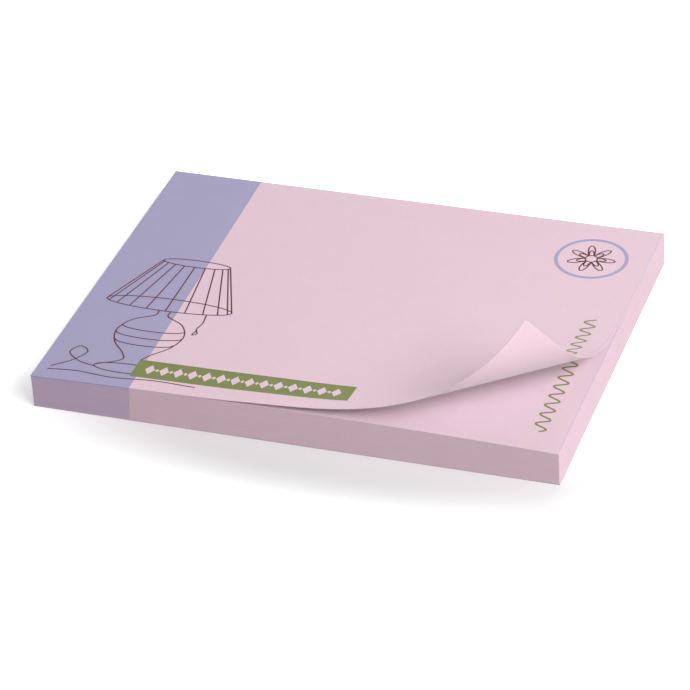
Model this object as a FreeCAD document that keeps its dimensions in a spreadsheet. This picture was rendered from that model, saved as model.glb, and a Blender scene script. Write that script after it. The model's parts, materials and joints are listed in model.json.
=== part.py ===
import FreeCAD, Part
import math
import os

import Sketcher
from FreeCAD import Vector

# A landscape pad of sticky notes, seen with its glued edge at the back. The frame's origin is the
# centre of the pad's base: +X runs along the long edge to the right, -Y is the free front edge and
# +Z is up. The near right corner of the top note has been lifted and rolled back over the pad.

doc = FreeCAD.newDocument("sticky_note_pad")

# Driving sizes, in millimetres and degrees. The sheet count and the last two have no unit.
DRIVING_SIZES = (
    ("pad_length", "100"),
    ("pad_depth", "75"),
    ("sheet_count", "50"),
    ("paper_thickness", "0.105"),
    ("glue_thickness", "0.025"),
    ("glue_width", "12"),
    ("backing_thickness", "0.2"),
    ("front_crown", "0.8"),
    ("fold_angle", "40"),
    ("fold_to_glue", "1"),
    ("roll_turn", "121.5"),
    ("roll_lead_in", "0.08"),
    ("roll_tightening", "3"),
)

sizes = doc.addObject("Spreadsheet::Sheet", "sizes")
sizes.Label = "sizes"
for row, (alias, value) in enumerate(DRIVING_SIZES, start=1):
    sizes.set(f"A{row}", alias)
    sizes.set(f"B{row}", value)
    sizes.setAlias(f"B{row}", alias)
doc.recompute()

# Lengths and heights that follow from the driving sizes.
HALF_LENGTH = "sizes.pad_length / 2"
HALF_DEPTH = "sizes.pad_depth / 2"
FREE_DEPTH = "(sizes.pad_depth - sizes.glue_width)"
SHEET_PITCH = "(sizes.paper_thickness + sizes.glue_thickness)"
BLOCK_HEIGHT = f"((sizes.sheet_count - 1) * {SHEET_PITCH})"
BLOCK_TOP = f"(sizes.backing_thickness + {BLOCK_HEIGHT})"
CROWN_RADIUS = f"(({HALF_LENGTH}) ^ 2 + sizes.front_crown ^ 2) / (2 * sizes.front_crown)"


def worked_out(expression):
    """The value of an expression on the sheet's sizes."""
    return float(sizes.evalExpression(expression))


def bind(part_object, **expressions):
    """Tie properties of an object to expressions on the sheet's sizes."""
    for name, expression in expressions.items():
        part_object.setExpression(name, expression)


def flat_layer(name, depth, thickness, front, underside):
    """A flat rectangular layer, centred on X, with its front edge and its underside given."""
    layer = doc.addObject("Part::Box", name)
    layer.Label = name
    bind(layer, Length="sizes.pad_length", Width=depth, Height=thickness)
    layer.setExpression("Placement.Base.x", f"-{HALF_LENGTH}")
    layer.setExpression("Placement.Base.y", front)
    layer.setExpression("Placement.Base.z", underside)
    return layer


# The backing sheet lies under the whole block.
backing_sheet = flat_layer(
    "backing_sheet",
    depth="sizes.pad_depth",
    thickness="sizes.backing_thickness",
    front=f"-{HALF_DEPTH}",
    underside="0",
)

# The sheet block is every note but the top one. Along the back the notes are glued and lie flat; in
# front of the glue they are loose, and the stack swells to a shallow arch along its front edge.
sheet_block = doc.addObject("PartDesign::Body", "sheet_block")
sheet_block.Label = "sheet_block"
front_plane = next(f for f in sheet_block.Origin.OriginFeatures if f.Role == "XZ_Plane")


def upright_sketch(name, distance_to_front):
    """An empty sketch parallel to the pad's front face, that far in front of the origin."""
    sketch = sheet_block.newObject("Sketcher::SketchObject", name)
    sketch.AttachmentSupport = [(front_plane, "")]
    sketch.MapMode = "FlatFace"
    sketch.setExpression("AttachmentOffset.Base.z", distance_to_front)
    return sketch


# Sketcher numbers the lines of a section in the order in which they are drawn, from 0, and the ends
# of each line from 1. The sketch's own origin and vertical axis come before the first line.
RIGHT_SIDE, BASE, LEFT_SIDE, TOP = range(4)
START, END = range(1, 3)
VERTICAL_AXIS, ORIGIN = range(-2, 0)


def size_constraint(sketch, name, kind, places, expression):
    """A constraint whose size follows an expression on the sheet."""
    constraint = Sketcher.Constraint(kind, *places, worked_out(expression))
    index = sketch.addConstraint(constraint)
    sketch.renameConstraint(index, name)
    sketch.setExpression(f"Constraints.{name}", expression)


def draw_side_and_base(sketch):
    """The right side, the base and the left side of the block's section, open at the top."""
    half, base, top = (worked_out(e) for e in (HALF_LENGTH, "sizes.backing_thickness", BLOCK_TOP))
    corners = (Vector(half, top), Vector(half, base), Vector(-half, base), Vector(-half, top))
    for start, end in zip(corners, corners[1:]):
        sketch.addGeometry(Part.LineSegment(start, end), False)
    for kind, *places in (
        ("Coincident", RIGHT_SIDE, END, BASE, START),
        ("Coincident", BASE, END, LEFT_SIDE, START),
        ("Vertical", RIGHT_SIDE),
        ("Vertical", LEFT_SIDE),
        ("Equal", RIGHT_SIDE, LEFT_SIDE),
        ("Symmetric", BASE, START, BASE, END, VERTICAL_AXIS),
    ):
        sketch.addConstraint(Sketcher.Constraint(kind, *places))
    size_constraint(sketch, "length", "DistanceX", (BASE, END, BASE, START), "sizes.pad_length")
    size_constraint(
        sketch, "base", "DistanceY", (ORIGIN, START, BASE, START), "sizes.backing_thickness"
    )
    size_constraint(
        sketch, "height", "DistanceY", (RIGHT_SIDE, END, RIGHT_SIDE, START), BLOCK_HEIGHT
    )


def close_top(sketch, top_geometry):
    """Close the section with a top that runs between its two sides."""
    sketch.addGeometry(top_geometry, False)
    first, last = (START, END) if top_geometry.StartPoint.x > 0 else (END, START)
    sketch.addConstraint(Sketcher.Constraint("Coincident", TOP, first, RIGHT_SIDE, START))
    sketch.addConstraint(Sketcher.Constraint("Coincident", TOP, last, LEFT_SIDE, END))


def close_with_line(sketch):
    """A straight top for the section."""
    half, top = worked_out(HALF_LENGTH), worked_out(BLOCK_TOP)
    close_top(sketch, Part.LineSegment(Vector(half, top), Vector(-half, top)))


def close_with_arch(sketch):
    """A shallow arch, as high as the crown in its middle, for the top of the section."""
    half, top, crown = (worked_out(e) for e in (HALF_LENGTH, BLOCK_TOP, "sizes.front_crown"))
    through = Vector(half, top), Vector(0, top + crown), Vector(-half, top)
    close_top(sketch, Part.Arc(*through))
    size_constraint(sketch, "crown_radius", "Radius", (TOP,), CROWN_RADIUS)


back_section = upright_sketch("back_section", f"-{HALF_DEPTH}")
draw_side_and_base(back_section)
close_with_line(back_section)

glue_line_section = upright_sketch("glue_line_section", f"sizes.glue_width - {HALF_DEPTH}")
draw_side_and_base(glue_line_section)
close_with_line(glue_line_section)

front_section = upright_sketch("front_section", HALF_DEPTH)
draw_side_and_base(front_section)
close_with_arch(front_section)
doc.recompute()

glued_zone = sheet_block.newObject("PartDesign::Pad", "glued_zone")
glued_zone.Profile = back_section
bind(glued_zone, Length="sizes.glue_width")
doc.recompute()

loose_zone = sheet_block.newObject("PartDesign::AdditiveLoft", "loose_zone")
loose_zone.Profile = glue_line_section
loose_zone.Sections = [front_section]
loose_zone.Ruled = True
doc.recompute()

# The glue strip runs along the back edge, between the block and the top sheet.
glue_strip = flat_layer(
    "glue_strip",
    depth="sizes.glue_width",
    thickness="sizes.glue_thickness",
    front=f"{HALF_DEPTH} - sizes.glue_width",
    underside=BLOCK_TOP,
)

# The top sheet is one flat rectangle of paper. It lies on the glue, follows the block's arch towards
# the front, and past a straight fold line its corner rolls up. The fold line ends on the right edge
# just in front of the glue. From there a small share of the roll's turn comes evenly, as the sheet
# lifts off the block, and the rest comes more and more tightly towards the corner.
half_length = worked_out(HALF_LENGTH)
glue_line = worked_out(f"{HALF_DEPTH} - sizes.glue_width")
front_edge = -worked_out(HALF_DEPTH)
free_depth = worked_out(FREE_DEPTH)
front_crown = worked_out("sizes.front_crown")
sheet_underside = worked_out(f"{BLOCK_TOP} + sizes.glue_thickness")
paper = worked_out("sizes.paper_thickness")
fold_angle = math.radians(worked_out("sizes.fold_angle"))
roll_turn = math.radians(worked_out("sizes.roll_turn"))
roll_lead_in = worked_out("sizes.roll_lead_in")
roll_tightening = worked_out("sizes.roll_tightening")
roll_length = (free_depth - worked_out("sizes.fold_to_glue")) * math.cos(fold_angle)

# The roll travels along this direction, square to the fold line and towards the lifted corner.
travel_x = math.sin(fold_angle)
travel_y = -math.cos(fold_angle)

STATIONS_ALONG = 41
STATIONS_ACROSS = 27
ROLL_STEPS = 400


def sheet_slope(past_fold):
    """How far the sheet has turned from flat, in radians, at a distance past the fold line."""
    share = past_fold / roll_length
    return roll_turn * (roll_lead_in * share + (1 - roll_lead_in) * share**roll_tightening)


def roll_profile():
    """Forward travel and rise of the rolled sheet, at equal steps past the fold line."""
    step = roll_length / ROLL_STEPS
    profile = [(0.0, 0.0)]
    for index in range(ROLL_STEPS):
        slope = sheet_slope((index + 0.5) * step)
        forward, rise = profile[-1]
        profile.append((forward + step * math.cos(slope), rise + step * math.sin(slope)))
    return profile


ROLL_PROFILE = roll_profile()


def rolled(past_fold):
    """Forward travel and rise of the rolled sheet at one distance past the fold line."""
    place = min(past_fold / roll_length, 1.0) * ROLL_STEPS
    index = min(int(place), ROLL_STEPS - 1)
    share = place - index
    before, after = ROLL_PROFILE[index], ROLL_PROFILE[index + 1]
    return tuple(low + share * (high - low) for low, high in zip(before, after))


def bent_point(x, y, raised):
    """Where a point of the flat sheet goes, raised from its underside along the paper's normal."""
    to_corner = (half_length - x) * travel_x + (front_edge - y) * travel_y
    past_fold = max(roll_length - to_corner, 0.0)
    slope = sheet_slope(past_fold)
    forward, rise = rolled(past_fold)
    shift = forward - past_fold - raised * math.sin(slope)
    arch = front_crown * (1 - (x / half_length) ** 2) * (glue_line - y) / free_depth
    height = sheet_underside + arch + rise + raised * math.cos(slope)
    return Vector(x + travel_x * shift, y + travel_y * shift, height)


def paper_face(raised):
    """One face of the loose part of the sheet, as a smooth surface through bent points."""
    columns = [half_length * (2 * i / (STATIONS_ALONG - 1) - 1) for i in range(STATIONS_ALONG)]
    rows = [glue_line - free_depth * j / (STATIONS_ACROSS - 1) for j in range(STATIONS_ACROSS)]
    surface = Part.BSplineSurface()
    surface.interpolate([[bent_point(x, y, raised) for y in rows] for x in columns])
    return surface


def edge_faces(lower, upper):
    """The four narrow faces that join the sheet's two faces along its edges."""
    u_start, u_end, v_start, v_end = lower.bounds()
    faces = []
    for u in (u_start, u_end):
        faces.append(Part.makeRuledSurface(lower.uIso(u).toShape(), upper.uIso(u).toShape()))
    for v in (v_start, v_end):
        faces.append(Part.makeRuledSurface(lower.vIso(v).toShape(), upper.vIso(v).toShape()))
    return faces


def loose_paper():
    """The loose part of the top sheet, from the glue line to its rolled corner."""
    lower, upper = paper_face(0.0), paper_face(paper)
    shell = Part.Shell([lower.toShape(), upper.toShape(), *edge_faces(lower, upper)])
    shell.sewShape()
    solid = Part.Solid(shell)
    if solid.Volume < 0:
        solid.reverse()
    return solid


def glued_paper():
    """The flat part of the top sheet, on the glue."""
    corner = Vector(-half_length, glue_line, sheet_underside)
    return Part.makeBox(2 * half_length, worked_out("sizes.glue_width"), paper, corner)


top_sheet = doc.addObject("Part::Feature", "top_sheet")
top_sheet.Label = "top_sheet"
top_sheet.Shape = glued_paper().fuse(loose_paper()).removeSplitter()
top_sheet.Placement = FreeCAD.Placement()
doc.recompute()

# Every object must have computed, and every node must be one valid solid, before any is written.
nodes = (backing_sheet, sheet_block, glue_strip, top_sheet)

for item in doc.Objects:
    if "Invalid" in item.State or "Error" in item.State:
        raise RuntimeError(f"{item.Label} did not compute: {item.State}")

for node in nodes:
    shape = node.Shape
    if shape.isNull() or not shape.isValid() or len(shape.Solids) != 1:
        raise RuntimeError(f"{node.Label} is not one valid solid")

os.makedirs("parts", exist_ok=True)
for node in nodes:
    node.Shape.exportStep(f"parts/{node.Label}.step")
    box = node.Shape.BoundBox
    print(
        f"{node.Label}: {node.Shape.Volume:.1f} mm3, "
        f"x {box.XMin:.2f} to {box.XMax:.2f}, y {box.YMin:.2f} to {box.YMax:.2f}, "
        f"z {box.ZMin:.3f} to {box.ZMax:.3f}"
    )
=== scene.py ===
# %% [markdown]
# A pad of sticky notes, rendered in Blender
#
# The pad is a square-cut block of thin pink paper with a lilac band printed down its left side. The
# near right corner of the top note has been lifted and rolled back. The sizes come from a packed
# model of the same pad, so this script only gives the pad its surfaces, its print and its light.
# Everything is in metres, and the pad's base is centred on the origin.

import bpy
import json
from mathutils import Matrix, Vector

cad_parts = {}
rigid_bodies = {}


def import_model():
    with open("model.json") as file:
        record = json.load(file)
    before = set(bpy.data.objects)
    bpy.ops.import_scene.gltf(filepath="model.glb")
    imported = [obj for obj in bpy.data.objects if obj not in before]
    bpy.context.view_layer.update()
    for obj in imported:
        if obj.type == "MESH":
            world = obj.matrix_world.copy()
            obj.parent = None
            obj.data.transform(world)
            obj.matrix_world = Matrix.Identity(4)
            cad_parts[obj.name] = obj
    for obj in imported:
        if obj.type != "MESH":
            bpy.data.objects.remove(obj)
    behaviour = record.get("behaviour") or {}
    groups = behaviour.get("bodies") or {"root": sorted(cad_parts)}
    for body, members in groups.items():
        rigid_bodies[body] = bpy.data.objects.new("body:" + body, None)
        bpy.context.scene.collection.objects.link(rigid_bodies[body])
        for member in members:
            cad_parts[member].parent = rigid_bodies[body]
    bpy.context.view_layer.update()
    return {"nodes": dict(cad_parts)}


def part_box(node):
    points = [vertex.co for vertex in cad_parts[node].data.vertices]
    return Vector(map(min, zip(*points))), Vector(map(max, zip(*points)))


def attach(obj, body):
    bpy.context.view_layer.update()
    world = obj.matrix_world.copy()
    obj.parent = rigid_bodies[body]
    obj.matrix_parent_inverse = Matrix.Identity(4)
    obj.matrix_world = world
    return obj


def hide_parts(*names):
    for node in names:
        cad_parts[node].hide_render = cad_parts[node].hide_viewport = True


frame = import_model()
print("nodes:", sorted(frame["nodes"]))

# %% Import what the later cells use
import json
import math
import random

import bpy
import numpy as np
from mathutils import Matrix, Vector
from mathutils.geometry import delaunay_2d_cdt

MM = 0.001
SHEET_SEED = 7
random.seed(SHEET_SEED)

# %% [markdown]
# Reading the pad's sizes
#
# Each size that the frame holds is read from it, so that the looks follow the model if it changes.
# The block's flat top is the underside of the glue, and what stands above that is the arch of its
# loose front edge. The paper's thickness is what is left of one sheet's share of the block.

# %% Read the sizes from the frame
block_low, block_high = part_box("sheet_block")
glue_low, glue_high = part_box("glue_strip")
note_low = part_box("top_sheet")[0]

SHEETS_IN_BLOCK = 49
half_length = block_high.x
half_depth = block_high.y
glue_line = glue_low.y
glue_thickness = glue_high.z - glue_low.z
front_crown = block_high.z - glue_low.z
sheet_pitch = (glue_low.z - block_low.z) / SHEETS_IN_BLOCK
paper = sheet_pitch - glue_thickness
free_depth = glue_line + half_depth
print(f"pad {2 * half_length / MM:.1f} x {2 * half_depth / MM:.1f} mm, paper {paper / MM:.3f} mm")

# %% [markdown]
# How a lifted note bends
#
# Paper bends in one direction at a time, so a lifted corner is a roll with straight rulings, and no
# part of it stretches. A cloth simulation would crumple it. Instead each point of the flat note is
# carried round a curve by its distance past a straight fold line. A small share of the turn comes
# evenly, where the note leaves the block, and the rest tightens towards the corner.

# %% Describe the roll
FOLD_ANGLE = math.radians(40)
FOLD_TO_GLUE = 1 * MM
ROLL_TURN = math.radians(121.5)
ROLL_LEAD_IN = 0.08
ROLL_TIGHTENING = 3
ROLL_STEPS = 800

roll_length = (free_depth - FOLD_TO_GLUE) * math.cos(FOLD_ANGLE)
travel = np.array([math.sin(FOLD_ANGLE), -math.cos(FOLD_ANGLE)])
corner = np.array([half_length, -half_depth])


def sheet_slope(past_fold):
    """How far the note has turned from flat at each distance past the fold line."""
    share = past_fold / roll_length
    return ROLL_TURN * (ROLL_LEAD_IN * share + (1 - ROLL_LEAD_IN) * share**ROLL_TIGHTENING)


def roll_profile():
    """Distances past the fold line, with the note's forward travel and rise at each."""
    distance = np.linspace(0, roll_length, ROLL_STEPS + 1)
    middle = sheet_slope((distance[1:] + distance[:-1]) / 2)
    step = roll_length / ROLL_STEPS
    forward = np.concatenate([[0], np.cumsum(np.cos(middle) * step)])
    rise = np.concatenate([[0], np.cumsum(np.sin(middle) * step)])
    return distance, forward, rise


profile_distance, profile_forward, profile_rise = roll_profile()
print(f"the corner ends {profile_rise[-1] / MM:.1f} mm above the block")

# %% [markdown]
# The roll doesn't end sharply at its fold. The loose front edge beside it has sprung up a little
# too, and shows as a thin dark line under the top note.

# %% Place points of a note
SPRING = 0.22 * MM
SPRING_PLACE = -4 * MM
SPRING_LEFT, SPRING_RIGHT = 10 * MM, 11 * MM


def forward_share(flat):
    """How far forward each flat point lies, from 0 at the glue to 1 at the front edge."""
    return np.clip((glue_line - flat[:, 1]) / free_depth, 0, 1)


def arch_height(flat):
    """How high the swollen front edge of the stack carries each flat point."""
    across = 1 - (flat[:, 0] / half_length) ** 2
    return front_crown * across * forward_share(flat)


def spring_height(flat):
    """How far the loose front edge of the top note has sprung up beside the roll."""
    from_peak = flat[:, 0] - SPRING_PLACE
    reach = np.where(from_peak < 0, SPRING_LEFT, SPRING_RIGHT)
    return SPRING * np.exp(-(from_peak / reach) ** 2) * forward_share(flat) ** 3


def rolled_note(flat, raised):
    """Where the points of the top note go, raised from its underside by part of its thickness."""
    past_fold = np.clip(roll_length - (corner - flat) @ travel, 0, roll_length)
    slope = sheet_slope(past_fold)
    forward = np.interp(past_fold, profile_distance, profile_forward)
    rise = np.interp(past_fold, profile_distance, profile_rise)
    shift = forward - past_fold - raised * np.sin(slope)
    height = note_low.z + arch_height(flat) + spring_height(flat) + rise + raised * np.cos(slope)
    return np.column_stack([flat + shift[:, None] * travel, height])


def laid_note(flat, raised):
    """Where the points of the note under it go: flat on the stack, and arched with it."""
    return np.column_stack([flat, glue_low.z - paper + arch_height(flat) + raised])


corner_place = rolled_note(corner[None, :], 0)[0]
print("the lifted corner, in mm:", (corner_place / MM).round(1))

# %% [markdown]
# The print
#
# The print is flat colour on pink paper: a lilac band, a green bar, a drawing in one thin brown
# line, a small badge and a wavy green rule. An image texture would blur, so each colour is a region
# of the mesh itself, with its outline cut into the triangles. First come the tools that make those
# outlines: a smooth pen line through a few points, arcs, and the test of what each shape covers.

# %% Draw smooth lines
LINE_STEPS = 10


def smooth_line(points):
    """A smooth pen line through a few points, in millimetres."""
    points = np.array(points)
    knots = np.vstack([2 * points[:1] - points[1:2], points, 2 * points[-1:] - points[-2:-1]])
    t = np.linspace(0, 1, LINE_STEPS, endpoint=False)[:, None]
    pieces = []
    for a, b, c, d in zip(knots, knots[1:], knots[2:], knots[3:]):
        bend = 2 * a - 5 * b + 4 * c - d
        twist = -a + 3 * b - 3 * c + d
        pieces.append(0.5 * (2 * b + (c - a) * t + bend * t**2 + twist * t**3))
    return np.concatenate([*pieces, [knots[-2]]])


def arc_line(centre, radii, span, steps):
    """Part of an ellipse, over a span of angles in degrees."""
    angle = np.radians(np.linspace(*span, steps))
    return np.column_stack([centre[0] + radii[0] * np.cos(angle), centre[1] + radii[1] * np.sin(angle)])


print("steps from each place of a pen line to the next:", LINE_STEPS)

# %% Keep shapes with their colour
GRID_STEP = 1.25
NO_LENGTH = 1e-12


def in_polygon(points, loop):
    """Which points lie inside a closed loop."""
    inside = np.zeros(len(points), bool)
    for (x0, y0), (x1, y1) in zip(loop, np.roll(loop, -1, axis=0)):
        crosses = (y0 > points[:, 1]) != (y1 > points[:, 1])
        with np.errstate(divide="ignore", invalid="ignore"):
            where = x0 + (points[:, 1] - y0) * (x1 - x0) / (y1 - y0)
        inside ^= crosses & (points[:, 0] < where)
    return inside


def near_line(points, line, reach):
    """Which points lie within reach of a line."""
    near = np.zeros(len(points), bool)
    for start, end in zip(line, line[1:]):
        along = end - start
        share = np.clip(((points - start) @ along) / max(along @ along, NO_LENGTH), 0, 1)
        near |= np.linalg.norm(points - start - share[:, None] * along, axis=1) <= reach
    return near


def stepped(line):
    """A line with points added along its long straight runs, so that it can bend with the note."""
    line = np.array(line, float)
    pieces = [line[:1]]
    for start, end in zip(line, line[1:]):
        count = math.ceil(np.linalg.norm(end - start) / GRID_STEP)
        pieces.append(np.linspace(start, end, count + 1)[1:])
    return np.concatenate(pieces)


def filled(ink, loop):
    """A shape of one ink that fills a closed loop."""
    loop = stepped([*loop, loop[0]])[:-1]
    return {"ink": ink, "loop": loop, "covers": lambda points: in_polygon(points, loop)}


def penned(ink, line, width):
    """A shape of one ink along a line, as a pen of that width leaves it."""
    line = np.array(line, float)
    along = np.gradient(line, axis=0)
    along /= np.linalg.norm(along, axis=1)[:, None]
    side = np.column_stack([-along[:, 1], along[:, 0]]) * width / 2
    loop = np.concatenate([line + side, (line - side)[::-1]])
    return {"ink": ink, "loop": loop, "covers": lambda points: near_line(points, line, width / 2)}


print("a straight outline has a point at least every", GRID_STEP, "mm")

# %% [markdown]
# The parts of the print, in millimetres on the flat note, from its centre. Each is a few named
# places and a loop. A later shape is printed over an earlier one, so the bar covers the drawing's
# foot. The drawing is a table lamp on a plain line, in the loose one-line style of such prints.

# %% Lay out the band, the bar and the rule
LENGTH, DEPTH = 2 * half_length / MM, 2 * half_depth / MM
BAND_FRONT, BAND_BACK = -30.6, -31.9
BAR_LEFT, BAR_RIGHT = -32.0, 9.9
BAR_FRONT, BAR_BACK = -33.75, -28.2
DIAMONDS = 14
LARGE_DIAMOND, SMALL_DIAMOND = (0.95, 1.5), (0.38, 0.5)
DIAMONDS_LEFT, DIAMONDS_RIGHT = -29.0, 6.9
RULE_X, RULE_FRONT, RULE_BACK = 44.6, -31.8, 4.6
RULE_WAVE, RULE_SWING, RULE_PEN, RULE_STEPS = 3.0, 1.15, 0.42, 220
# The edge shadow is painted shade along the right edge, not print.
EDGE_SHADOW_LEFT, EDGE_SHADOW_RIGHT = LENGTH / 2 - 0.46, LENGTH / 2 - 0.26


def rectangle(left, right, front, back):
    """The loop of an upright rectangle."""
    return [(left, front), (right, front), (right, back), (left, back)]


def diamond(x, y, half_width, half_height):
    """The loop of a diamond."""
    return [(x - half_width, y), (x, y - half_height), (x + half_width, y), (x, y + half_height)]


def bar_shapes():
    """The green bar with a row of pink diamonds, large and small by turns."""
    shapes = [filled("green", rectangle(BAR_LEFT, BAR_RIGHT, BAR_FRONT, BAR_BACK))]
    middle = (BAR_FRONT + BAR_BACK) / 2
    for place, x in enumerate(np.linspace(DIAMONDS_LEFT, DIAMONDS_RIGHT, 2 * DIAMONDS - 1)):
        size = SMALL_DIAMOND if place % 2 else LARGE_DIAMOND
        shapes.append(filled("pink", diamond(x, middle, *size)))
    return shapes


def wavy_rule():
    """A green wave along the right edge."""
    y = np.linspace(RULE_FRONT, RULE_BACK, RULE_STEPS)
    x = RULE_X + RULE_SWING * np.sin(2 * np.pi * (y - RULE_FRONT) / RULE_WAVE)
    return [penned("green", np.column_stack([x, y]), RULE_PEN)]


def painted_edge_shadow():
    """A thin line of painted shade beside the right edge, for the shade in the gap under a note's edge.
    """
    return [filled("edge_shadow", rectangle(EDGE_SHADOW_LEFT, EDGE_SHADOW_RIGHT, -DEPTH / 2, DEPTH / 2))]


print("shapes in the bar:", len(bar_shapes()))

# %% Draw the lamp
PEN = 0.28
LAMP_X = -33.5
SHADE_BASE, SHADE_TOP = -9.5, 5.5
SHADE_BASE_RADII, SHADE_TOP_RADII = (12.5, 2.1), (6.8, 1.2)
PLEATS, PLEAT_STEPS = 11, 12
BODY_SIDE = [
    (1.1, -11.8), (1.4, -13.4), (4.9, -15.6), (6.6, -19.2), (5.6, -23.2), (2.6, -26.8), (2.0, -29.0),
    (6.2, -31.4),
]
BODY_BANDS = [(-17.6, (6.2, 1.3)), (-20.0, (6.5, 1.4)), (-22.6, (5.6, 1.2))]
FOOT, FOOT_RADII = -31.6, (6.3, 1.5)
WHOLE, NEAR_HALF = (0, 360), (180, 360)
LOOP_STEPS, HALF_LOOP_STEPS = 60, 24


def lamp_shade():
    """The shade: two ellipses, two slanting sides and the pleats between them."""
    lines = [
        arc_line((LAMP_X, SHADE_BASE), SHADE_BASE_RADII, WHOLE, LOOP_STEPS),
        arc_line((LAMP_X, SHADE_TOP), SHADE_TOP_RADII, WHOLE, LOOP_STEPS),
    ]
    feet = arc_line((LAMP_X, SHADE_BASE), SHADE_BASE_RADII, NEAR_HALF, PLEATS)
    heads = arc_line((LAMP_X, SHADE_TOP), SHADE_TOP_RADII, NEAR_HALF, PLEATS)
    for foot, head in zip(feet, heads):
        lines.append(np.linspace(foot, head, PLEAT_STEPS))
    return lines


def lamp_body():
    """The jar-shaped body, mirrored about its middle, with bands across it and a foot under it."""
    lines = [smooth_line([(LAMP_X + side * x, y) for x, y in BODY_SIDE]) for side in (-1, 1)]
    for y, radii in BODY_BANDS:
        lines.append(arc_line((LAMP_X, y), radii, NEAR_HALF, HALF_LOOP_STEPS))
    lines.append(arc_line((LAMP_X, FOOT), FOOT_RADII, WHOLE, LOOP_STEPS))
    return lines


print("lines in the shade and in the body:", len(lamp_shade()), len(lamp_body()))

# %% Draw the loose lines round the lamp
PULL = [(-25.4, -11.2), (-25.1, -14.0), (-25.5, -16.2), (-24.9, -17.6), (-25.7, -18.2), (-25.3, -16.6)]
LEAD = [
    (-39.6, -32.0), (-43.0, -31.0), (-45.8, -28.6), (-44.6, -26.2), (-42.6, -27.8), (-44.4, -31.0),
    (-47.6, -33.6),
]
GROUND = [(-47.8, -34.6), (-42.0, -34.2), (-35.0, -34.9), (-27.0, -34.3), (-19.0, -34.7)]


def drawing():
    """Every pen line of the lamp, with its pull, its lead and the line that it stands on."""
    loose_lines = [smooth_line(points) for points in (PULL, LEAD, GROUND)]
    return [penned("brown", line, PEN) for line in (*lamp_shade(), *lamp_body(), *loose_lines)]


print("pen lines in the drawing:", len(drawing()))

# %% Draw the badge, and put the print together
BADGE_CENTRE = (38.8, 25.4)
BADGE_RADIUS, BADGE_PEN, BADGE_STEPS = 6.7, 0.72, 90
ROSE_LOBES, ROSE_RADIUS, ROSE_STEPS = 7, 4.6, 260
ROSE_RINGS = [(1.0, 0.36), (0.62, 0.3), (0.25, 0.0)]


def badge():
    """A lilac ring round a small brown rosette, whose rings have a size and a depth of lobe."""
    ring = arc_line(BADGE_CENTRE, (BADGE_RADIUS, BADGE_RADIUS), WHOLE, BADGE_STEPS)
    shapes = [penned("lilac", ring, BADGE_PEN)]
    angle = np.linspace(0, 2 * np.pi, ROSE_STEPS)
    for size, depth in ROSE_RINGS:
        radius = ROSE_RADIUS * size * (1 - depth + depth * np.cos(ROSE_LOBES * angle))
        shapes.append(penned("brown", np.column_stack([
            BADGE_CENTRE[0] + radius * np.cos(angle), BADGE_CENTRE[1] + radius * np.sin(angle),
        ]), PEN))
    return shapes


band_loop = [
    (-LENGTH, -DEPTH / 2), (BAND_FRONT, -DEPTH / 2), (BAND_BACK, DEPTH / 2), (-LENGTH, DEPTH / 2),
]
# The last shape is painted shade along the right edge, not print.
print_shapes = [
    filled("lilac", band_loop), *drawing(), *bar_shapes(), *wavy_rule(), *badge(), *painted_edge_shadow(),
]
print("shapes in the print:", len(print_shapes))

# %% [markdown]
# Cutting the print into the paper
#
# A constrained triangulation takes the grid of a plain sheet and the outlines of every shape, and
# gives triangles that cross none of them. Grid points that come too near an outline are left out,
# because they would make slivers. The last shape that covers a triangle gives it its colour.

# %% Cut the flat note into coloured triangles
CLEAR_OF_OUTLINE = 0.3
SEARCH_MARGIN = 1.0
ON_RIM = 1e-6
CUT_TOLERANCE = 1e-5
WHOLE_HULL = 0
# The last name is painted shade along the right edge, not an ink.
INKS = ("pink", "lilac", "green", "brown", "edge_shadow")


def sheet_grid():
    """The grid points of a plain note, with a row on the glue line."""
    columns = np.linspace(-LENGTH / 2, LENGTH / 2, round(LENGTH / GRID_STEP) + 1)
    rows = np.linspace(-DEPTH / 2, DEPTH / 2, round(DEPTH / GRID_STEP) + 1)
    rows[np.argmin(abs(rows - glue_line / MM))] = glue_line / MM
    x, y = np.meshgrid(columns, rows)
    return np.column_stack([x.ravel(), y.ravel()])


def on_rim(points):
    """Which points lie on the note's four edges."""
    off_rim = abs(abs(points) - [LENGTH / 2, DEPTH / 2])
    return (off_rim < ON_RIM).any(axis=1)


def cut_note():
    """The flat note's points, its triangles and the ink of each."""
    band_line = stepped([(BAND_FRONT, -DEPTH / 2), (BAND_BACK, DEPTH / 2)])
    loops = [shape["loop"] for shape in print_shapes[1:]]
    outline = np.concatenate([band_line, *loops])
    edges, first = [(i, i + 1) for i in range(len(band_line) - 1)], len(band_line)
    for loop in loops:
        edges += [(first + i, first + (i + 1) % len(loop)) for i in range(len(loop))]
        first += len(loop)
    grid = sheet_grid()
    keep = np.ones(len(grid), bool)
    for loop in (band_line, *loops):
        low, high = loop.min(axis=0) - SEARCH_MARGIN, loop.max(axis=0) + SEARCH_MARGIN
        near = ((grid > low) & (grid < high)).all(axis=1)
        keep[near] &= ~near_line(grid[near], np.vstack([loop, loop[:1]]), CLEAR_OF_OUTLINE)
    keep |= on_rim(grid)
    places = [Vector(place) for place in np.concatenate([outline, grid[keep]])]
    cut = delaunay_2d_cdt(places, edges, [], WHOLE_HULL, CUT_TOLERANCE)
    points = np.array([tuple(place) for place in cut[0]])
    triangles = np.array(cut[2])
    centres = points[triangles].mean(axis=1)
    ink = np.zeros(len(triangles), int)
    for shape in print_shapes:
        ink[shape["covers"](centres)] = INKS.index(shape["ink"])
    return points * MM, triangles, ink


flat_points, flat_triangles, triangle_ink = cut_note()
print("triangles in one face of a note:", len(flat_triangles))

# %% [markdown]
# Colours
#
# Colours are written as they show on screen, from 0 to 255, and turned into the linear values that
# shaders use. The paper itself is pink right through. The lilac ink tints the cut edges too, but
# there the bare paper between two printed faces makes it paler and warmer.

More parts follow.
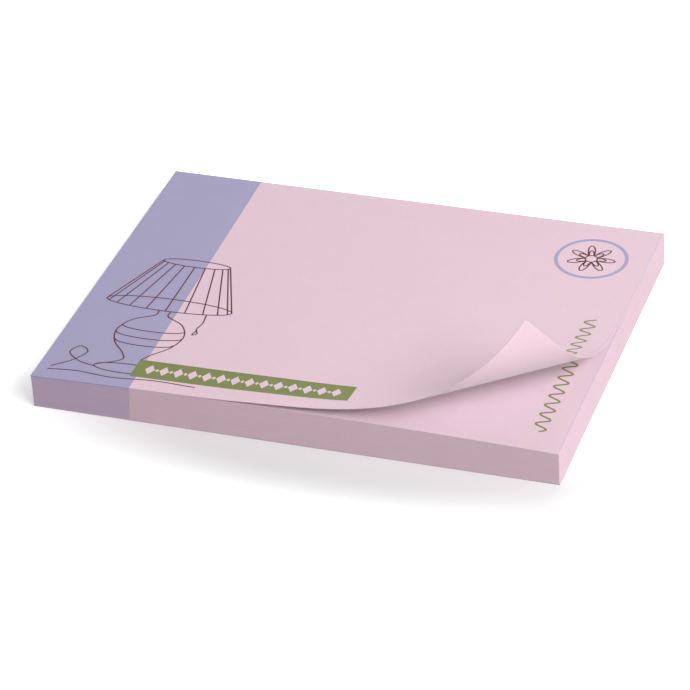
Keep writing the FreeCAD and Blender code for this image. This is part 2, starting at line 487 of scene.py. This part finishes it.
# %% Name the colours
def linear(red, green, blue):
    """A screen colour as a shader's linear colour, by the sRGB rule."""
    def channel(value):
        value /= 255
        return value / 12.92 if value <= 0.04045 else ((value + 0.055) / 1.055) ** 2.4
    return (channel(red), channel(green), channel(blue), 1.0)


INK_COLOURS = {
    "pink": linear(232, 201, 214),
    "lilac": linear(168, 163, 196),
    "green": linear(127, 137, 78),
    "brown": linear(94, 42, 44),
    # The last colour is painted shade along the right edge, not an ink.
    "edge_shadow": linear(218, 197, 214),
}
EDGE_COLOURS = {"pink": linear(224, 196, 208), "lilac": linear(201, 179, 202)}
UNDERSIDE = linear(226, 201, 211)
BACKING = linear(216, 188, 202)
GLUE = linear(232, 226, 214)
print("inks:", ", ".join(INK_COLOURS))

# %% [markdown]
# Paper, as a shader node group
#
# Uncoated paper isn't one flat colour. Held up close it is cloudy, its fibres lie every way and a
# few of them are darker, and its surface is rough on a scale of a fifth of a millimetre. Every
# material here needs that, so it is one node group: a colour goes in, and the group gives it back
# with clouds, grain and fibres, and gives the height of the surface for a Bump node.

# %% Helpers for node trees
def new_group(name, inputs, outputs):
    """An empty shader node group with named sockets: (name, type, default)."""
    group = bpy.data.node_groups.new(name, "ShaderNodeTree")
    for socket_name, socket_type, default in inputs:
        socket = group.interface.new_socket(socket_name, in_out="INPUT", socket_type=socket_type)
        socket.default_value = default
    for socket_name, socket_type in outputs:
        group.interface.new_socket(socket_name, in_out="OUTPUT", socket_type=socket_type)
    return group, group.nodes.new("NodeGroupInput"), group.nodes.new("NodeGroupOutput")


def add_node(tree, kind, **settings):
    """A node of one kind, with its properties set."""
    node = tree.nodes.new(kind)
    for name, value in settings.items():
        setattr(node, name, value)
    return node


def maths(tree, operation, first, second=None):
    """A Math node fed by sockets or plain numbers; gives its result socket."""
    node = add_node(tree, "ShaderNodeMath", operation=operation)
    for socket, value in zip(node.inputs, (first, second)):
        if isinstance(value, bpy.types.NodeSocket):
            tree.links.new(value, socket)
        elif value is not None:
            socket.default_value = value
    return node.outputs[0]


def noise(tree, place, scale, detail, stretch=(1, 1, 1)):
    """A Noise texture per metre at a place, stretched along the axes; gives its value."""
    mapping = add_node(tree, "ShaderNodeMapping")
    mapping.inputs["Scale"].default_value = stretch
    tree.links.new(place, mapping.inputs["Vector"])
    texture = add_node(tree, "ShaderNodeTexNoise", noise_dimensions="3D")
    texture.inputs["Scale"].default_value = scale
    texture.inputs["Detail"].default_value = detail
    tree.links.new(mapping.outputs[0], texture.inputs["Vector"])
    return texture.outputs["Fac"]


# %% Build the paper group
NOISE_MIDDLE = 0.5
CLOUDS_PER_METRE = 170
GRAIN_PER_METRE = 5200
FIBRES_PER_METRE = 2600
FIBRE_STRETCH, FIBRE_SHARPNESS, FIBRE_HEIGHT = 0.12, 22, 0.6


def paper_group():
    """Clouds, grain and fibres of uncoated paper, added to a colour."""
    group, given, made = new_group(
        "uncoated_paper",
        [("Colour", "NodeSocketColor", (1, 1, 1, 1)), ("Cloudiness", "NodeSocketFloat", 0.03),
         ("Grain", "NodeSocketFloat", 0.05), ("Fibres", "NodeSocketFloat", 0.06)],
        [("Colour", "NodeSocketColor"), ("Height", "NodeSocketFloat")],
    )
    place = add_node(group, "ShaderNodeTexCoord").outputs["Object"]
    clouds = maths(group, "SUBTRACT", noise(group, place, CLOUDS_PER_METRE, detail=3), NOISE_MIDDLE)
    grain = maths(group, "SUBTRACT", noise(group, place, GRAIN_PER_METRE, detail=2), NOISE_MIDDLE)
    strands = []
    for stretch in ((FIBRE_STRETCH, 1, 1), (1, FIBRE_STRETCH, 1)):
        value = noise(group, place, FIBRES_PER_METRE, detail=1, stretch=stretch)
        off_middle = maths(group, "ABSOLUTE", maths(group, "SUBTRACT", value, NOISE_MIDDLE))
        sharpened = maths(group, "MULTIPLY", off_middle, FIBRE_SHARPNESS)
        strands.append(maths(group, "SUBTRACT", 1, sharpened))
    strand = maths(group, "MAXIMUM", maths(group, "MAXIMUM", *strands), 0)
    shade = maths(group, "MULTIPLY", clouds, given.outputs["Cloudiness"])
    shade = maths(group, "ADD", shade, maths(group, "MULTIPLY", grain, given.outputs["Grain"]))
    shade = maths(group, "SUBTRACT", shade, maths(group, "MULTIPLY", strand, given.outputs["Fibres"]))
    tint = add_node(group, "ShaderNodeHueSaturation")
    group.links.new(given.outputs["Colour"], tint.inputs["Color"])
    group.links.new(maths(group, "ADD", shade, 1), tint.inputs["Value"])
    height = maths(group, "ADD", maths(group, "MULTIPLY", strand, FIBRE_HEIGHT), grain)
    group.links.new(tint.outputs["Color"], made.inputs["Colour"])
    group.links.new(height, made.inputs["Height"])
    return group


paper_nodes = paper_group()
print("paper group:", len(paper_nodes.nodes), "nodes")

# %% [markdown]
# Cut edges, as a second node group
#
# The sides of the block are the cut edges of its notes. The guillotine leaves each edge a little
# darker or paler than the next, and its blade draws faint slanting scratches across the whole
# stack. The group stretches a noise along the pad, so that its streaks are long and one sheet thick,
# and it draws a scratch through each scattered point of a one-dimensional Voronoi texture.

# %% Build the cut edge group
STREAK_STRETCH = (0.02, 0.02, 1)
SCRATCHES_PER_METRE = 34
SCRATCH_HALF_WIDTH = 0.011
SCRATCH_LEAN = 0.95
PATCHES_PER_METRE, PATCH_FLOOR, PATCH_CONTRAST = 230, 0.42, 6


def cut_edge_group():
    """Streaks from edge to edge and a few slanting blade marks, added to a colour."""
    group, given, made = new_group(
        "cut_edges",
        [("Colour", "NodeSocketColor", (1, 1, 1, 1)), ("Streaks", "NodeSocketFloat", 0.08),
         ("Scratches", "NodeSocketFloat", 0.1)],
        [("Colour", "NodeSocketColor")],
    )
    place = add_node(group, "ShaderNodeTexCoord").outputs["Object"]
    sheets = noise(group, place, 1 / sheet_pitch, detail=2, stretch=STREAK_STRETCH)
    streak = maths(group, "SUBTRACT", sheets, NOISE_MIDDLE)
    parts = add_node(group, "ShaderNodeSeparateXYZ")
    group.links.new(place, parts.inputs[0])
    along = maths(group, "ADD", parts.outputs["X"], parts.outputs["Y"])
    slanted = maths(group, "ADD", along, maths(group, "MULTIPLY", parts.outputs["Z"], SCRATCH_LEAN))
    lines = add_node(group, "ShaderNodeTexVoronoi", voronoi_dimensions="1D")
    lines.inputs["Scale"].default_value = SCRATCHES_PER_METRE
    group.links.new(slanted, lines.inputs["W"])
    off_line = maths(group, "DIVIDE", lines.outputs["Distance"], SCRATCH_HALF_WIDTH)
    scratch = maths(group, "MAXIMUM", maths(group, "SUBTRACT", 1, off_line), 0)
    patches = maths(group, "SUBTRACT", noise(group, place, PATCHES_PER_METRE, detail=1), PATCH_FLOOR)
    patches = maths(group, "MULTIPLY", patches, PATCH_CONTRAST)
    fading = maths(group, "MINIMUM", maths(group, "MAXIMUM", patches, 0), 1)
    scratch = maths(group, "MULTIPLY", scratch, fading)
    shade = maths(group, "MULTIPLY", streak, given.outputs["Streaks"])
    shade = maths(group, "ADD", shade, maths(group, "MULTIPLY", scratch, given.outputs["Scratches"]))
    tint = add_node(group, "ShaderNodeHueSaturation")
    group.links.new(given.outputs["Colour"], tint.inputs["Color"])
    group.links.new(maths(group, "ADD", shade, 1), tint.inputs["Value"])
    group.links.new(tint.outputs["Color"], made.inputs["Colour"])
    return group


edge_nodes = cut_edge_group()
print("cut edge group:", len(edge_nodes.nodes), "nodes")

# %% [markdown]
# Materials
#
# Each finish is its own material around one Principled BSDF. Paper is rough and has almost no
# gloss. Ink lies on the same fibres but fills them a little, so it is a touch smoother. The
# colour's clouds and grain come from the groups, and their height goes through a Bump node.
#
# Light also goes into paper and comes out again nearby, or on the other side of one sheet, which
# subsurface scattering gives. And light that bounces between two pink notes turns a deeper pink
# each time, until the shade under the roll looks red. A printer's photograph keeps that shade
# neutral, so a Light Path node gives rays that have bounced already a colour that is nearly grey.

# %% Make the paper and ink materials
BUMP_DISTANCE = 0.006 * MM
SCATTER_DISTANCE = 0.15 * MM
BOUNCE_FADE = 0.8


def principled(name, roughness, specular):
    """A new material and its Principled BSDF, with its plain values set on the shader."""
    material = bpy.data.materials.new(name)
    material.use_nodes = True
    shader = material.node_tree.nodes["Principled BSDF"]
    shader.inputs["Roughness"].default_value = roughness
    shader.inputs["Specular IOR Level"].default_value = specular
    return material, shader


def place_group(tree, group, **values):
    """A node group in a material, with its inputs set."""
    node = add_node(tree, "ShaderNodeGroup", node_tree=group)
    for name, value in values.items():
        node.inputs[name].default_value = value
    return node


def bump_into(tree, shader, height, strength):
    """Drive the shader's normal by a height."""
    bump = add_node(tree, "ShaderNodeBump")
    bump.inputs["Distance"].default_value = BUMP_DISTANCE
    bump.inputs["Strength"].default_value = strength
    tree.links.new(height, bump.inputs["Height"])
    tree.links.new(bump.outputs["Normal"], shader.inputs["Normal"])


def calm_bounces(tree, colour):
    """A colour that is nearly grey to rays that have bounced already."""
    path = add_node(tree, "ShaderNodeLightPath")
    fade = maths(tree, "MULTIPLY", path.outputs["Is Diffuse Ray"], BOUNCE_FADE)
    tint = add_node(tree, "ShaderNodeHueSaturation")
    tree.links.new(maths(tree, "SUBTRACT", 1, fade), tint.inputs["Saturation"])
    tree.links.new(colour, tint.inputs["Color"])
    return tint.outputs["Color"]


def paper_material(name, colour, roughness=0.92, specular=0.25, cloudiness=0.035, grain=0.06,
                   fibres=0.02, bump=0.5):
    """Paper, printed or bare."""
    material, shader = principled(name, roughness, specular)
    shader.inputs["Subsurface Weight"].default_value = 1.0
    shader.inputs["Subsurface Radius"].default_value = (1.0, 1.0, 1.0)
    shader.inputs["Subsurface Scale"].default_value = SCATTER_DISTANCE
    tree = material.node_tree
    paper_node = place_group(tree, paper_nodes, Colour=colour, Cloudiness=cloudiness, Grain=grain,
                             Fibres=fibres)
    tree.links.new(calm_bounces(tree, paper_node.outputs["Colour"]), shader.inputs["Base Color"])
    bump_into(tree, shader, paper_node.outputs["Height"], strength=bump)
    return material


def edge_material(name, colour):
    """The cut edges of a stack of notes."""
    material, shader = principled(name, roughness=0.95, specular=0.2)
    tree = material.node_tree
    streaks = place_group(tree, edge_nodes, Colour=colour, Streaks=0.12, Scratches=0.06)
    paper_node = place_group(tree, paper_nodes, Cloudiness=0.05, Grain=0.08, Fibres=0.0)
    tree.links.new(streaks.outputs["Colour"], paper_node.inputs["Colour"])
    tree.links.new(paper_node.outputs["Colour"], shader.inputs["Base Color"])
    bump_into(tree, shader, paper_node.outputs["Height"], strength=0.6)
    return material


ink_materials = [
    paper_material("pink_paper", INK_COLOURS["pink"]),
    paper_material("lilac_ink", INK_COLOURS["lilac"], roughness=0.86, cloudiness=0.04),
    paper_material("green_ink", INK_COLOURS["green"], roughness=0.82, cloudiness=0.06, grain=0.1),
    paper_material("brown_ink", INK_COLOURS["brown"], roughness=0.8, cloudiness=0.08, grain=0.12),
    # The last material is painted shade along the right edge.
    paper_material("painted_edge_shadow", INK_COLOURS["edge_shadow"]),
]
underside_material = paper_material("note_underside", UNDERSIDE, cloudiness=0.045, fibres=0.03)
edge_materials = [edge_material(f"{ink}_cut_edge", EDGE_COLOURS[ink]) for ink in ("pink", "lilac")]
print("materials:", len(bpy.data.materials))

# %% Make the backing and glue materials
GLUE_BEADS_PER_METRE = 9000


def glue_material():
    """Removable glue: a pale, slightly glossy film of tiny beads."""
    material, shader = principled("removable_glue", roughness=0.45, specular=0.5)
    tree = material.node_tree
    beads = add_node(tree, "ShaderNodeTexVoronoi", feature="SMOOTH_F1")
    beads.inputs["Scale"].default_value = GLUE_BEADS_PER_METRE
    tree.links.new(add_node(tree, "ShaderNodeTexCoord").outputs["Object"], beads.inputs["Vector"])
    film = place_group(tree, paper_nodes, Colour=GLUE, Cloudiness=0.08, Grain=0.05, Fibres=0.0)
    tree.links.new(film.outputs["Colour"], shader.inputs["Base Color"])
    bump_into(tree, shader, beads.outputs["Distance"], strength=0.8)
    return material


backing_material = paper_material("backing_paper", BACKING, cloudiness=0.06, grain=0.09, fibres=0.05,
                                  bump=0.8)
film_material = glue_material()
print("backing and glue:", backing_material.name, film_material.name)

# %% [markdown]
# From flat triangles to a solid sheet
#
# A note is a closed solid a tenth of a millimetre thick. Its printed face is the cut triangles,
# carried to their place. Its underside is the same triangles turned over, and a strip of narrow
# faces joins the two along the four edges. Sharp edges keep that strip crisp while the faces shade
# smoothly round the roll.

# %% Build a note
SHARP_ANGLE = math.radians(50)
UNDERSIDE_SLOT = len(INKS)
# Inside the band a note's rim wears the full lilac ink, darker than the stack's paler lilac edges:
# partly ink on the cut edge, partly painted shade for the thin dark line under the top note's edge.
PINK_EDGE_SLOT, LILAC_RIM_INK_AND_SHADE_SLOT = len(INKS) + 1, INKS.index("lilac")


def in_band(x, y):
    """Whether a place on the rim, in metres, is on the lilac side of the band's edge."""
    back_share = (y + half_depth) / (2 * half_depth)
    return x < (BAND_FRONT + (BAND_BACK - BAND_FRONT) * back_share) * MM


def rim_edges(triangles):
    """The directed edges that only one triangle uses."""
    directed = {(a, b) for t in triangles for a, b in ((t[0], t[1]), (t[1], t[2]), (t[2], t[0]))}
    return [(int(a), int(b)) for a, b in directed if (b, a) not in directed]


def new_piece(name, points, faces, slots, materials):
    """A mesh object that rides on the pad, with a material for each face."""
    mesh = bpy.data.meshes.new(name)
    mesh.from_pydata([tuple(point) for point in points], [], faces)
    for material in materials:
        mesh.materials.append(material)
    mesh.polygons.foreach_set("material_index", slots)
    mesh.validate()
    mesh.update()
    piece = bpy.data.objects.new(name, mesh)
    bpy.context.scene.collection.objects.link(piece)
    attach(piece, "root")
    return piece


def build_note(name, place):
    """A printed note, closed and as thick as paper, with its points put in place."""
    count = len(flat_points)
    points = np.concatenate([place(flat_points, paper), place(flat_points, 0.0)])
    faces = [tuple(map(int, t)) for t in flat_triangles]
    faces += [tuple(int(i) + count for i in reversed(t)) for t in flat_triangles]
    slots = list(triangle_ink) + [UNDERSIDE_SLOT] * len(flat_triangles)
    for a, b in sorted(rim_edges(flat_triangles)):
        faces.append((b, a, a + count, b + count))
        # Rims in the band get the darker lilac ink: painted shade under the top note's edge.
        slots.append(LILAC_RIM_INK_AND_SHADE_SLOT if in_band(*flat_points[[a, b]].mean(axis=0)) else PINK_EDGE_SLOT)
    materials = [*ink_materials, underside_material, edge_materials[0]]
    piece = new_piece(name, points, faces, slots, materials)
    piece.data.shade_smooth()
    piece.data.set_sharp_from_angle(angle=SHARP_ANGLE)
    return piece


top_note = build_note("top_note", rolled_note)
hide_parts("top_sheet")
second_note = build_note("second_note", laid_note)
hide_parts("sheet_block")
print("triangles in a note:", len(top_note.data.polygons))

# %% [markdown]
# The stack of cut edges
#
# From the side a pad is fifty thin lines. Bump alone would leave the silhouette and the corners as
# clean as a box, so the edges are real: each sheet has its own outline, shifted by a hundredth of a
# millimetre or so, with a narrow groove over it. The outline has tiny rounded corners, where the
# blade presses the paper, and it follows the arch of the front edge. The sheets were printed before
# they were cut, and from the top of the stack to the bottom the edge of the lilac band drifts by
# half a millimetre. A fan of triangles round a point on the glue line closes the top, because one
# many-sided face over an arch would rise into the note that lies on it.

# %% Trace the outline of a sheet
CORNER_RADIUS = 0.2 * MM
CORNER_STEPS = 3
FRONT_STEPS, SIDE_STEPS = 40, 12
LOWER_SHEETS = SHEETS_IN_BLOCK - 1
SHEET_SHIFT = 0.014 * MM
LOOSE_GROOVE, GLUED_GROOVE = 0.045 * MM, 0.02 * MM
CLEAR_OF_NOTE = 0.002 * MM
BAND_DRIFT = -0.45 * MM


def sheet_outline():
    """Points round a sheet, anticlockwise from the near left corner, with the way out from each."""
    inner = np.array([half_length, half_depth]) - CORNER_RADIUS
    corners = np.array([(-1, -1), (1, -1), (1, 1), (-1, 1)]) * inner
    band_ends = {0: BAND_FRONT * MM, 2: BAND_BACK * MM}
    places, ways = [], []
    for side, (start, end) in enumerate(zip(corners, np.roll(corners, -1, axis=0))):
        shares = np.linspace(0, 1, (SIDE_STEPS if side % 2 else FRONT_STEPS) + 1)
        if side in band_ends:
            shares = np.sort(np.append(shares, (band_ends[side] - start[0]) / (end[0] - start[0])))
        facing = (side - 1) * math.pi / 2
        way = np.array([math.cos(facing), math.sin(facing)])
        places += [start + share * (end - start) + CORNER_RADIUS * way for share in shares]
        ways += [way] * len(shares)
        for turn in np.linspace(0, math.pi / 2, CORNER_STEPS + 1)[1:-1]:
            way = np.array([math.cos(facing + turn), math.sin(facing + turn)])
            places.append(end + CORNER_RADIUS * way)
            ways.append(way)
    return np.array(places), np.array(ways)


outline_places, outline_ways = sheet_outline()
on_band_edge = np.isclose(outline_places[:, :1], [BAND_FRONT * MM, BAND_BACK * MM]).any(axis=1)
print("points round a sheet:", len(outline_places), "on the band's edge:", on_band_edge.sum())

# %% Build the stack
def stack_ring(share, height, inset, shift):
    """One closed ring of the stack, arched by its share of the whole arch, inset and shifted."""
    places = outline_places - outline_ways * inset[:, None] + shift
    places[on_band_edge, 0] += BAND_DRIFT * (1 - share)
    return np.column_stack([places, height + share * arch_height(outline_places)])


def build_stack():
    """The lower sheets of the block as one closed piece with a groove over every sheet."""
    glued = outline_places[:, 1] > glue_line
    groove = np.where(glued, GLUED_GROOVE, LOOSE_GROOVE) + SHEET_SHIFT
    flush = np.full(len(outline_places), SHEET_SHIFT)
    rings = []
    for sheet in range(LOWER_SHEETS):
        shift = np.array([random.uniform(-1, 1), random.uniform(-1, 1)]) * SHEET_SHIFT
        share = sheet / LOWER_SHEETS
        bottom = block_low.z + sheet * sheet_pitch
        rings.append(stack_ring(share, bottom, flush, shift))
        rings.append(stack_ring(share, bottom + paper, flush, shift))
        in_groove = bottom + paper + glue_thickness / 2
        rings.append(stack_ring(share + 0.5 / LOWER_SHEETS, in_groove, groove, 0))
    rings[-1] = stack_ring(1, glue_low.z - paper - CLEAR_OF_NOTE, groove, 0)
    count = len(outline_places)
    faces, slots = [], []
    for level in range(len(rings) - 1):
        for i in range(count):
            j = (i + 1) % count
            low, high = level * count, (level + 1) * count
            faces.append((low + i, low + j, high + j, high + i))
            slots.append(int(in_band(*outline_places[[i, j]].mean(axis=0))))
    top, middle = (len(rings) - 1) * count, len(rings) * count
    faces.append(tuple(range(count - 1, -1, -1)))
    faces += [(top + i, top + (i + 1) % count, middle) for i in range(count)]
    slots += [0] * (count + 1)
    points = np.concatenate([*rings, [[0, glue_line, glue_low.z - paper - CLEAR_OF_NOTE]]])
    return new_piece("lower_notes", points, faces, slots, edge_materials)


stack = build_stack()
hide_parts("sheet_block")
print("faces in the stack:", len(stack.data.polygons))

# %% [markdown]
# The glue and the backing
#
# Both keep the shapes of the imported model, because flat plates are what they are. Only their
# finish changes: each material slot of the object gets the new material.

# %% Dress the glue and the backing
def dress(node_name, material):
    """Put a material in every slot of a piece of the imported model."""
    node = frame["nodes"][node_name]
    for slot in node.material_slots:
        slot.material = material
    print(node_name, "wears", material.name, "in", len(node.material_slots), "slots")


dress("glue_strip", film_material)
dress("backing_sheet", backing_material)

# %% [markdown]
# Camera
#
# The photograph was taken with a long lens from the front right and well above. The camera's place
# was worked out from the pad's corners, and it is turned a little about its own axis.

# %% Place the camera
CAMERA_PLACE = Vector((188.8, -514.1, 359.0)) * MM
CAMERA_AIM = Vector((2.75, -13.95, 6.7)) * MM
CAMERA_ROLL = math.radians(-3.535)
CAMERA_LENS = 182.0
SENSOR_WIDTH = 36.0


def place_camera():
    """The scene's camera, aimed at a point near the middle of the pad."""
    data = bpy.data.cameras.new("camera")
    data.lens = CAMERA_LENS
    data.sensor_width = SENSOR_WIDTH
    camera = bpy.data.objects.new("camera", data)
    bpy.context.scene.collection.objects.link(camera)
    look = (CAMERA_AIM - CAMERA_PLACE).to_track_quat("-Z", "Y").to_matrix().to_4x4()
    camera.matrix_world = Matrix.Translation(CAMERA_PLACE) @ look @ Matrix.Rotation(CAMERA_ROLL, 4, "Z")
    bpy.context.scene.camera = camera
    return camera


camera = place_camera()
print("camera up:", tuple(round(v, 4) for v in camera.matrix_world.col[1][:3]))

# %% [markdown]
# Floor, light and background
#
# The pad lies on a pale table. The camera should see the table as white, so it looks paler to the
# camera than to the light on the pad, and glows a little. It doesn't glow in an oval in front of
# the pad, where the pad's soft shadow lies, so the oval stays grey even where no shadow falls: a
# painted shadow.
#
# A wide lamp from the right gives the bright right side, the dark front side and the light on the
# roll's inside. A weaker one stands low at the back. It fills the shade behind the roll, and throws
# the soft shadow in front. The weakest, at the left, keeps the left side from going dark, and an
# even sky fills the rest.

# %% Make the floor
FLOOR_SIZE = 1.6
FLOOR_HEIGHT = -0.02 * MM
FLOOR_ALBEDO, FLOOR_ALBEDO_SEEN = 0.6, 0.85
GLOW = 0.62
# The oval is a painted shadow: the floor there stays grey, shadowed or not.
PAINTED_SHADOW_CENTRE, PAINTED_SHADOW_SQUEEZE = Vector((10, -36, 0)) * MM, Vector((0.85, 3, 1))
PAINTED_SHADOW_START, PAINTED_SHADOW_END = 24 * MM, 72 * MM


def seen_directly(tree):
    """A mask that is 1 for camera, glossy and transmission rays, and 0 for the light on the pad."""
    path = add_node(tree, "ShaderNodeLightPath")
    seen = maths(tree, "MAXIMUM", path.outputs["Is Camera Ray"], path.outputs["Is Glossy Ray"])
    return maths(tree, "MAXIMUM", seen, path.outputs["Is Transmission Ray"])


def floor_glow(tree):
    """How much the floor glows: nothing in an oval in front of the pad, which stays grey as a painted
    shadow, and fully further out.
    """
    squeezed = add_node(tree, "ShaderNodeVectorMath", operation="MULTIPLY")
    tree.links.new(add_node(tree, "ShaderNodeTexCoord").outputs["Object"], squeezed.inputs[0])
    squeezed.inputs[1].default_value = PAINTED_SHADOW_SQUEEZE
    distance = add_node(tree, "ShaderNodeVectorMath", operation="DISTANCE")
    tree.links.new(squeezed.outputs["Vector"], distance.inputs[0])
    distance.inputs[1].default_value = PAINTED_SHADOW_CENTRE * PAINTED_SHADOW_SQUEEZE
    spread = add_node(tree, "ShaderNodeMapRange", interpolation_type="SMOOTHSTEP")
    tree.links.new(distance.outputs["Value"], spread.inputs["Value"])
    spread.inputs["From Min"].default_value = PAINTED_SHADOW_START
    spread.inputs["From Max"].default_value = PAINTED_SHADOW_END
    spread.inputs["To Min"].default_value = 0
    spread.inputs["To Max"].default_value = GLOW
    return spread.outputs["Result"]


def make_floor():
    """A wide pale floor under the pad."""
    mesh = bpy.data.meshes.new("floor")
    half = FLOOR_SIZE / 2
    corners = [(-half, -half), (half, -half), (half, half), (-half, half)]
    mesh.from_pydata([(x, y, FLOOR_HEIGHT) for x, y in corners], [], [(0, 1, 2, 3)])
    floor = bpy.data.objects.new("floor", mesh)
    bpy.context.scene.collection.objects.link(floor)
    material = bpy.data.materials.new("white_table")
    material.use_nodes = True
    tree = material.node_tree
    tree.nodes.clear()
    seen = seen_directly(tree)
    diffuse = add_node(tree, "ShaderNodeBsdfDiffuse")
    paler = maths(tree, "MULTIPLY", seen, FLOOR_ALBEDO_SEEN - FLOOR_ALBEDO)
    tree.links.new(maths(tree, "ADD", paler, FLOOR_ALBEDO), diffuse.inputs["Color"])
    glow = add_node(tree, "ShaderNodeEmission")
    tree.links.new(maths(tree, "MULTIPLY", seen, floor_glow(tree)), glow.inputs["Strength"])
    both = add_node(tree, "ShaderNodeAddShader")
    tree.links.new(diffuse.outputs[0], both.inputs[0])
    tree.links.new(glow.outputs[0], both.inputs[1])
    tree.links.new(both.outputs[0], add_node(tree, "ShaderNodeOutputMaterial").inputs["Surface"])
    mesh.materials.append(material)
    return floor


floor = make_floor()
print(floor.name, FLOOR_SIZE, "m across")

# %% Light the pad
SKY_STRENGTH = 0.25
KEY_PLACE, KEY_SIZE, KEY_POWER = Vector((0.62, -0.29, 0.52)), (0.75, 0.42), 7.6
BACK_PLACE, BACK_SIZE, BACK_POWER = Vector((0.0, 0.8, 0.32)), (0.42, 0.42), 3.0
LEFT_PLACE, LEFT_SIZE, LEFT_POWER = Vector((-0.84, 0.0, 0.18)), (0.42, 0.3), 0.8


def light_sky():
    """An even sky that shows as white to the camera."""
    world = bpy.data.worlds.new("sky")
    world.use_nodes = True
    tree = world.node_tree
    background = tree.nodes["Background"]
    background.inputs["Color"].default_value = (1, 1, 1, 1)
    brightened = maths(tree, "MULTIPLY", seen_directly(tree), 1 - SKY_STRENGTH)
    tree.links.new(maths(tree, "ADD", brightened, SKY_STRENGTH), background.inputs["Strength"])
    bpy.context.scene.world = world


def soft_lamp(name, place, size, power):
    """A lamp with a width and a height, aimed at the pad."""
    data = bpy.data.lights.new(name, "AREA")
    data.shape = "RECTANGLE"
    data.size, data.size_y = size
    data.energy = power
    lamp = bpy.data.objects.new(name, data)
    bpy.context.scene.collection.objects.link(lamp)
    lamp.location = place
    lamp.rotation_euler = (-place).to_track_quat("-Z", "Y").to_euler()
    return lamp


light_sky()
print("key lamp at", tuple(soft_lamp("key", KEY_PLACE, KEY_SIZE, KEY_POWER).location))
print("back lamp at", tuple(soft_lamp("back", BACK_PLACE, BACK_SIZE, BACK_POWER).location))
print("left lamp at", tuple(soft_lamp("left", LEFT_PLACE, LEFT_SIZE, LEFT_POWER).location))

# %% [markdown]
# Output
#
# The Standard view shows a colour as it is written.

# %% Show colours as written
bpy.context.scene.view_settings.view_transform = "Standard"
